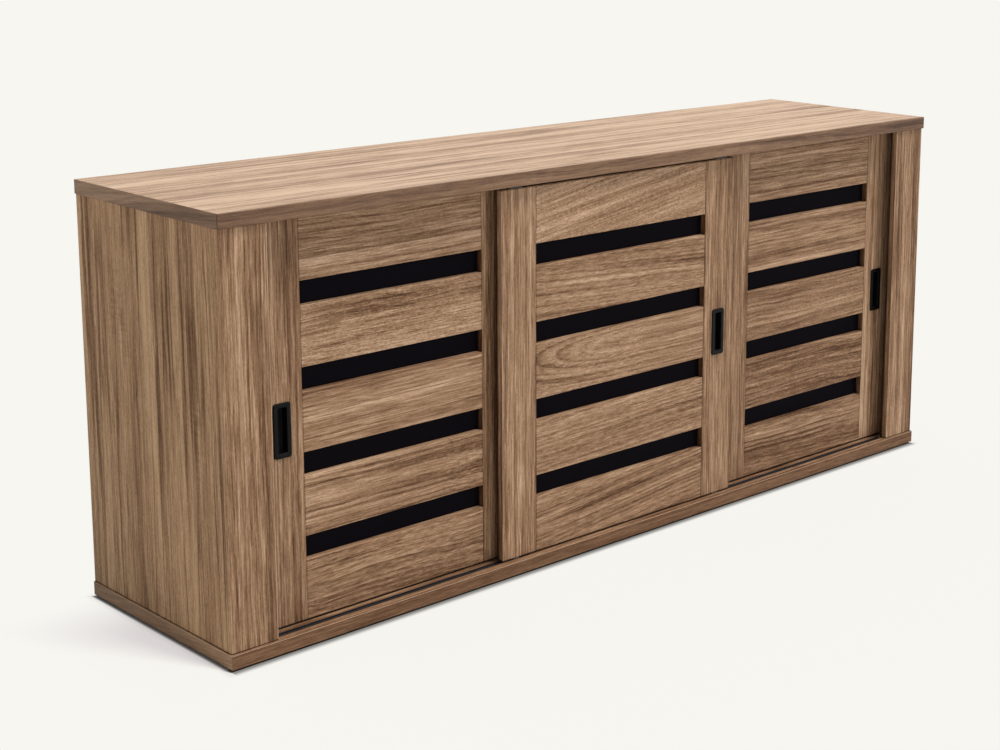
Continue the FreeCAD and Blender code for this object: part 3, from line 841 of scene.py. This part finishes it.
def combine(piece, other, operation):
    # joins or cuts with another piece, which is then gone
    bpy.ops.object.mode_set(mode="OBJECT")
    bpy.context.view_layer.objects.active = piece
    change = piece.modifiers.new("combine", "BOOLEAN")
    change.operation = operation
    change.solver = "EXACT"
    change.object = other
    bpy.ops.object.modifier_apply(modifier="combine")
    bpy.data.objects.remove(other)


def finishPiece(piece, angle=35):
    clearSelection()
    piece.select_set(True)
    bpy.context.view_layer.objects.active = piece
    bpy.ops.object.shade_smooth_by_angle(angle=math.radians(angle))
    return piece


def placeCopies(model, name, places, body, finish, slotName, *replaced):
    # one piece of all the copies, each with its own mesh, turned and moved to its place
    copies = []
    for matrix in places:
        copy = model.copy()
        copy.data = model.data.copy()
        copy.data.transform(matrix)
        bpy.context.scene.collection.objects.link(copy)
        copies.append(copy)
    bpy.ops.object.select_all(action="DESELECT")
    for copy in copies:
        copy.select_set(True)
    piece = copies[0]
    bpy.context.view_layer.objects.active = piece
    if len(copies) > 1:
        bpy.ops.object.join()
    piece.name = name
    piece.data.materials.clear()
    piece.data.materials.append(plain[finish])
    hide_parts(*replaced)
    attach(piece, body)


def solidBoxes(name):
    # lowest and highest corner of each separate solid of a node
    mesh = nodes[name].data
    keys = [tuple(round(value, 6) for value in vertex.co) for vertex in mesh.vertices]
    leader = {key: key for key in keys}

    def lead(key):
        while leader[key] != key:
            key = leader[key]
        return key

    for face in mesh.polygons:
        first = lead(keys[face.vertices[0]])
        for index in face.vertices[1:]:
            leader[lead(keys[index])] = first
    boxes = {}
    for key in leader:
        low, high = boxes.get(lead(key), (key, key))
        boxes[lead(key)] = (tuple(map(min, low, key)), tuple(map(max, high, key)))
    return [(Vector(low), Vector(high)) for low, high in boxes.values()]


pullShape = {
    "rim": 0.008,
    "plate": 0.002,
    "wall": 0.0014,
    "draft": 0.0015,
    "corner": 0.005,
    "cupCorner": 0.0025,
    "rimRound": 0.0011,
    "lipRound": 0.0007,
    "floorRound": 0.0012,
    "overcut": 0.001,       # how far the cutter stands out in front
}


def modelHollow(size, depth):
    # what is cut out of the cup, narrower at its floor
    shape = pullShape
    mouth = Vector((size.x - 2 * shape["rim"], depth, size.z - 2 * shape["rim"]))
    hollow = startBlock("pullHollow", mouth, (0, depth / 2 - shape["plate"], 0))
    pickFaces(hollow, lambda face: face.normal.y > squareOn)
    taper = (1 - 2 * shape["draft"] / mouth.x, 1, 1 - 2 * shape["draft"] / mouth.z)
    bpy.ops.transform.resize(value=taper)
    pickFaces(hollow, lambda face: face.normal.y < -squareOn)
    bpy.ops.mesh.extrude_region_move(TRANSFORM_OT_translate={"value": (0, -shape["overcut"], 0)})
    pickEdges(hollow, lambda a, b: abs(a.y - b.y) > shape["overcut"] / 2)
    bpy.ops.mesh.bevel(offset=shape["cupCorner"], segments=6)
    pickEdges(hollow, lambda a, b: min(a.y, b.y) > depth - shape["plate"] - hair)
    bpy.ops.mesh.bevel(offset=shape["floorRound"], segments=4)
    bpy.ops.object.mode_set(mode="OBJECT")
    return hollow


def modelPull():
    # its middle lies on the door's face, which is at y = 0
    shape = pullShape
    low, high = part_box("left_door_pull")
    size = high - low
    plate = shape["plate"]
    pull = startBlock("pullModel", (size.x, plate, size.z), (0, -plate / 2, 0))
    pickEdges(pull, lambda a, b: abs(a.y - b.y) > plate / 2)
    bpy.ops.mesh.bevel(offset=shape["corner"], segments=10)
    pickEdges(pull, lambda a, b: max(a.y, b.y) < -plate + hair)
    bpy.ops.mesh.bevel(offset=shape["rimRound"], segments=4)
    reach = shape["rim"] - shape["wall"]
    cupDepth = size.y - plate
    cup = startBlock("pullCup", (size.x - 2 * reach, cupDepth + plate / 2, size.z - 2 * reach),
                     (0, (cupDepth - plate / 2) / 2, 0))
    combine(pull, cup, "UNION")
    combine(pull, modelHollow(size, size.y - shape["wall"]), "DIFFERENCE")
    halfWidth = size.x / 2 - shape["rim"] + 2 * hair
    halfHeight = size.z / 2 - shape["rim"] + 2 * hair
    pickEdges(pull, lambda a, b: max(a.y, b.y) < -plate + hair
              and max(abs(a.x), abs(b.x)) < halfWidth and max(abs(a.z), abs(b.z)) < halfHeight)
    bpy.ops.mesh.bevel(offset=shape["lipRound"], segments=3)
    return finishPiece(pull)


pullModel = modelPull()
for door in doorNames:
    low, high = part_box(door + "_pull")
    place = middleOf(low, high)
    place.y = low.y + pullShape["plate"]
    placeCopies(pullModel, door + "_flushPull", [Matrix.Translation(place)], door,
                "pullPlastic", "pull_plastic", door + "_pull")
bpy.data.objects.remove(pullModel)
print("pulls made")

rollerShape = {
    "bore": 0.00155,
    "grooveRadius": 0.008,
    "grooveWidth": 0.0042,
    "grooveTaper": 0.0005,
    "edgeRound": 0.0004,
    "hubRadius": 0.004,
}


def modelRoller():
    # its axle is the z axis and its middle is at 0
    shape = rollerShape
    low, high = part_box("left_door_roller_left")
    radius = (high.z - low.z) / 2
    width = high.y - low.y
    sideFace = width / 2 - hair
    roller = startDisc("rollerModel", radius, width)
    bpy.ops.transform.translate(value=(0, 0, -width / 2))
    grooveTop = shape["grooveWidth"] / 2
    grooveBottom = grooveTop - shape["grooveTaper"]
    for height in (-grooveTop, -grooveBottom, grooveBottom, grooveTop):
        bpy.ops.mesh.select_all(action="SELECT")
        bpy.ops.mesh.bisect(plane_co=(0, 0, height), plane_no=(0, 0, 1))
    pickEdges(roller, lambda a, b: max(abs(a.z), abs(b.z)) < grooveBottom + hair)
    share = shape["grooveRadius"] / radius
    bpy.ops.transform.resize(value=(share, share, 1))
    pickFaces(roller, lambda face: abs(face.normal.z) > squareOn
              and abs(face.center.z) > sideFace)
    bpy.ops.mesh.inset(thickness=radius - shape["hubRadius"], use_individual=True)
    bpy.ops.mesh.inset(thickness=shape["hubRadius"] - shape["bore"], use_individual=True)
    bpy.ops.mesh.delete(type="FACE")
    pickEdges(roller, lambda a, b: max(a.xy.length, b.xy.length) < shape["bore"] + hair)
    bpy.ops.mesh.bridge_edge_loops()
    pickEdges(roller, lambda a, b: min(a.xy.length, b.xy.length) > radius - hair
              and min(abs(a.z), abs(b.z)) > sideFace)
    bpy.ops.mesh.bevel(offset=shape["edgeRound"], segments=3)
    return finishPiece(roller)


rollerModel = modelRoller()
alongY = Matrix.Rotation(math.radians(90), 4, "X")
for door in doorNames:
    for side in ("left", "right"):
        name = f"{door}_roller_{side}"
        place = Matrix.Translation(middleOf(*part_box(name))) @ alongY
        placeCopies(rollerModel, f"{door}_wheel_{side}", [place], name,
                    "rollerNylon", "roller_nylon", name)
bpy.data.objects.remove(rollerModel)
print("rollers made")


def alongX(way):
    # turns a model's z axis to x, or away from it where way is -1
    return Vector((way, 0, 0)).to_track_quat("Z", "Y").to_matrix().to_4x4()


def placeAlongX(low, high, way=1):
    # on the solid's low end, or on its high end and turned round where way is -1
    place = middleOf(low, high)
    place.x = low.x if way > 0 else high.x
    return Matrix.Translation(place) @ alongX(way)


glideShape = {"edgeRound": 0.0016}


def modelGlide(low, high):
    glide = startDisc("glideModel", (high.x - low.x) / 2, high.z - low.z)
    pickEdges(glide, lambda a, b: max(a.z, b.z) < hair)
    bpy.ops.mesh.bevel(offset=glideShape["edgeRound"], segments=4)
    return finishPiece(glide)


def placeGlide(low, high):
    place = middleOf(low, high)
    place.z = low.z
    return Matrix.Translation(place)


camShape = {"rimRound": 0.0002, "dish": 0.0006, "rim": 0.0012, "slotLength": 0.0085,
            "slotWidth": 0.0018, "slotDepth": 0.0035}


def modelCam(low, high):
    # its open face is at z = 0 and it goes down from there
    shape = camShape
    depth = high.x - low.x
    cam = startDisc("camModel", (high.z - low.z) / 2, depth, 48)
    bpy.ops.transform.translate(value=(0, 0, -depth))
    pickFaces(cam, lambda face: face.normal.z > squareOn)
    bpy.ops.mesh.inset(thickness=shape["rim"])
    bpy.ops.mesh.extrude_region_move(TRANSFORM_OT_translate={"value": (0, 0, -shape["dish"])})
    pickEdges(cam, lambda a, b: min(a.z, b.z) > -hair)
    bpy.ops.mesh.bevel(offset=shape["rimRound"], segments=2)
    length, width, height = shape["slotLength"], shape["slotWidth"], shape["slotDepth"] * 2
    bar = startBlock("slotBar", (length, width, height))
    combine(bar, finishPiece(startBlock("crossBar", (width, length, height))), "UNION")
    combine(cam, bar, "DIFFERENCE")
    return finishPiece(cam)


def placeCam(low, high):
    # it opens to the inner side of the upright that it sits in
    place = middleOf(low, high)
    uprights = ("side_panel_left", "side_panel_right", "divider_left", "divider_right")
    boards = [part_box(name) for name in uprights]
    board = next(box for box in boards if box[0].x < place.x < box[1].x)
    way = 1 if abs(board[1].x - high.x) < abs(board[0].x - low.x) else -1
    place.x = high.x if way > 0 else low.x
    return Matrix.Translation(place) @ alongX(way)


pinShape = {"endRound": 0.0008}


def modelPin(low, high):
    length = high.x - low.x
    pin = startDisc("pinModel", (high.z - low.z) / 2, length, 32)
    pickEdges(pin, lambda a, b: abs(a.z - b.z) < length / 2)
    bpy.ops.mesh.bevel(offset=pinShape["endRound"], segments=4)
    return finishPiece(pin)


bumperShape = {"dome": 0.0013}


def modelBumper(low, high):
    thickness = high.x - low.x
    bumper = startDisc("bumperModel", (high.z - low.z) / 2, thickness, 48)
    pickEdges(bumper, lambda a, b: min(a.z, b.z) > thickness - hair)
    bpy.ops.mesh.bevel(offset=bumperShape["dome"], segments=6)
    return finishPiece(bumper)


def placeBumper(low, high):
    # its dome points to the middle of the piece
    return placeAlongX(low, high, -1 if low.x > 0 else 1)


hardware = [
    ("glides", modelGlide, placeGlide, "glideSet", "glidePlastic", "glide_plastic"),
    ("cam_locks", modelCam, placeCam, "camLockSet", "castZinc", "cast_zinc"),
    ("shelf_pins", modelPin, placeAlongX, "shelfPinSet", "platedSteel", "plated_steel"),
    ("door_bumpers", modelBumper, placeBumper, "bumperSet", "bumperRubber", "bumper_rubber"),
]
for node, modelOne, placeOne, name, finish, slotName in hardware:
    boxes = solidBoxes(node)
    model = modelOne(*boxes[0])
    places = [placeOne(low, high) for low, high in boxes]
    placeCopies(model, name, places, "root", finish, slotName, node)
    bpy.data.objects.remove(model)
print("hardware made")

studio = {
    "backdrop": (247, 246, 241),
    "worldShare": 0.38,       # what the world gives a surface that sees all of it
    "keyShare": 0.88,         # what the overhead light gives a level surface of the piece
    "keyFrom": (0.26, -0.3, 0.95),
    "keyAngle": 20,
    "fillShare": 0.2,         # what the front light gives a surface that faces it
    "fillFrom": (0.7, -0.9, 0.2),
    "fillAngle": 30,
    "floorShare": 1.3,        # what the floor's own light gives it
    "floorFrom": (0.2, -0.5, 0.84),
    "floorAngle": 12,
    "floorShade": (0.255, 0.29, 0.255),    # how much of the shading the floor shows
    "contactReach": 0.007,    # how far round the piece it shows all of it
    "nearReach": 0.07,        # and how far a little more of it
    "nearShare": 0.1,
    "paintedShadowReach": 0.017,     # how far the painted shadow of the gap under the base spreads
    "paintedShadowSide": 0.15,       # how dark the painted shadow is beside the piece
    "paintedShadowFront": 0.55,      # and how much darker in front
    "paintedShadowInside": 0.016,    # how far under the base it starts
    "fadeBehind": (0.0, 0.24),      # where the real shadow is painted over with the backdrop's colour, behind the piece's middle
    "fadeBeside": (0.1, 0.22),      # and beside its end
    "floorSize": 60,
}


def sunLamp(name, share, floorState):
    # it lights the floor alone, or all but the floor
    lamp = bpy.data.lights.new(name + "Lamp", "SUN")
    lamp.energy = share * math.pi
    lamp.angle = math.radians(studio[name + "Angle"])
    lampObject = bpy.data.objects.new(name + "Lamp", lamp)
    comesFrom = Vector(studio[name + "From"])
    lampObject.rotation_euler = comesFrom.to_track_quat("Z", "Y").to_euler()
    bpy.context.scene.collection.objects.link(lampObject)
    receivers = bpy.data.collections.new(name + "LampReceivers")
    receivers.objects.link(floor)
    lampObject.light_linking.receiver_collection = receivers
    receivers.collection_objects[0].light_linking.link_state = floorState


def backdropRays(tree):
    # one for rays that show the backdrop: from the camera, in gloss and through glass
    rays = tree.nodes.new("ShaderNodeLightPath").outputs
    shown = calc(tree, "MAXIMUM", rays["Is Camera Ray"], rays["Is Glossy Ray"])
    return calc(tree, "MAXIMUM", shown, rays["Is Transmission Ray"])


def flatShader(tree, kind, colour):
    node = tree.nodes.new(kind)
    node.inputs["Color"].default_value = (*colour, 1)
    return node


def blendShaders(tree, share, first, second):
    node = tree.nodes.new("ShaderNodeMixShader")
    feed(tree, node.inputs[0], share)
    tree.links.new(first.outputs[0], node.inputs[1])
    tree.links.new(second.outputs[0], node.inputs[2])
    return node


def setWorld():
    world = bpy.data.worlds.new("studioWorld")
    world.use_nodes = True
    tree = world.node_tree
    tree.nodes.clear()
    lit = flatShader(tree, "ShaderNodeBackground", (1, 1, 1))
    lit.inputs["Strength"].default_value = studio["worldShare"]
    seen = flatShader(tree, "ShaderNodeBackground", paint(*studio["backdrop"])[:3])
    mix = blendShaders(tree, backdropRays(tree), lit, seen)
    output = tree.nodes.new("ShaderNodeOutputWorld")
    tree.links.new(mix.outputs[0], output.inputs["Surface"])
    bpy.context.scene.world = world


def floorMaterial():
    # to the camera it is the backdrop's colour, with a share of its real shading
    light = studio["worldShare"] + studio["floorShare"]
    backdrop = paint(*studio["backdrop"])[:3]
    shaded = [part * share for part, share in zip(backdrop, studio["floorShade"])]
    rest = [part - shade for part, shade in zip(backdrop, shaded)]
    material = bpy.data.materials.new("studioFloor")
    material.use_nodes = True
    tree = material.node_tree
    tree.nodes.clear()
    lit = flatShader(tree, "ShaderNodeBsdfDiffuse", [part / light for part in backdrop])
    partly = flatShader(tree, "ShaderNodeBsdfDiffuse", [part / light for part in shaded])
    glow = flatShader(tree, "ShaderNodeEmission", rest)
    both = tree.nodes.new("ShaderNodeAddShader")
    tree.links.new(partly.outputs[0], both.inputs[0])
    tree.links.new(glow.outputs[0], both.inputs[1])
    x, y = split(tree, objectPlace(tree)[1])[:2]
    pastEnd = calc(tree, "SUBTRACT", sizeOf(tree, x), cadHigh.x)
    pastFront = calc(tree, "SUBTRACT", sizeOf(tree, y), cadHigh.y)
    away = calc(tree, "MAXIMUM", pastEnd, pastFront)
    # close to the piece the floor shows more of its shading
    contact = ease(tree, away, 0.0, studio["contactReach"], 1.0, 0.0)
    close = ease(tree, away, 0.0, studio["nearReach"], studio["nearShare"], 0.0)
    seen = blendShaders(tree, calc(tree, "MAXIMUM", contact, close), both, lit)
    # further behind and beside it the real shadow is painted over with the backdrop's colour
    plainGlow = flatShader(tree, "ShaderNodeEmission", backdrop)
    behind = ease(tree, y, *studio["fadeBehind"])
    fade = calc(tree, "MAXIMUM", behind, ease(tree, pastEnd, *studio["fadeBeside"]))
    fade = times(tree, fade, calc(tree, "SUBTRACT", 1.0, contact))
    faded = blendShaders(tree, fade, seen, plainGlow)
    # and along the base a painted shadow stands in for the dark of the gap under it
    inFront = times(tree, calc(tree, "LESS_THAN", y, studio["paintedShadowInside"] - cadHigh.y),
                    calc(tree, "LESS_THAN", pastEnd, 0.0))
    depth = timesPlus(tree, inFront, studio["paintedShadowFront"], studio["paintedShadowSide"])
    spread = ease(tree, away, 0.0, studio["paintedShadowReach"], 1.0, 0.0)
    # black, which the painted shadow mixes in
    dark = flatShader(tree, "ShaderNodeBsdfDiffuse", (0, 0, 0))
    withPaintedShadow = blendShaders(tree, times(tree, spread, depth), faded, dark)
    mix = blendShaders(tree, backdropRays(tree), lit, withPaintedShadow)
    output = tree.nodes.new("ShaderNodeOutputMaterial")
    tree.links.new(mix.outputs[0], output.inputs["Surface"])
    return material


bpy.ops.object.select_all(action="DESELECT")
bpy.ops.mesh.primitive_plane_add(size=studio["floorSize"], location=(0, 0, cadLow.z))
floor = bpy.context.active_object
floor.name = "studioFloor"
floor.data.materials.append(floorMaterial())
floor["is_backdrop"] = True
setWorld()
keyHeight = Vector(studio["keyFrom"]).normalized().z
floorHeight = Vector(studio["floorFrom"]).normalized().z
sunLamp("key", studio["keyShare"] / keyHeight, "EXCLUDE")
sunLamp("fill", studio["fillShare"], "EXCLUDE")
sunLamp("floor", studio["floorShare"] / floorHeight, "INCLUDE")

cameraPlace = {
    "location": (-2.38789, -2.62650, 1.25520),
    "turn": (78.9836, -0.5424, -44.8364),
    "lens": 65.9284,
    "sensor": 36,
    "shift": (-0.138396, -0.137222),
}
camera = bpy.data.cameras.new("studioCamera")
camera.lens = cameraPlace["lens"]
camera.sensor_width = cameraPlace["sensor"]
camera.sensor_fit = "HORIZONTAL"
camera.shift_x, camera.shift_y = cameraPlace["shift"]
cameraObject = bpy.data.objects.new("studioCamera", camera)
cameraObject.location = cameraPlace["location"]
cameraObject.rotation_euler = [math.radians(angle) for angle in cameraPlace["turn"]]
bpy.context.scene.collection.objects.link(cameraObject)
bpy.context.scene.camera = cameraObject
bpy.context.scene.view_settings.view_transform = "Standard"
print("studio ready")

low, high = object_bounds()
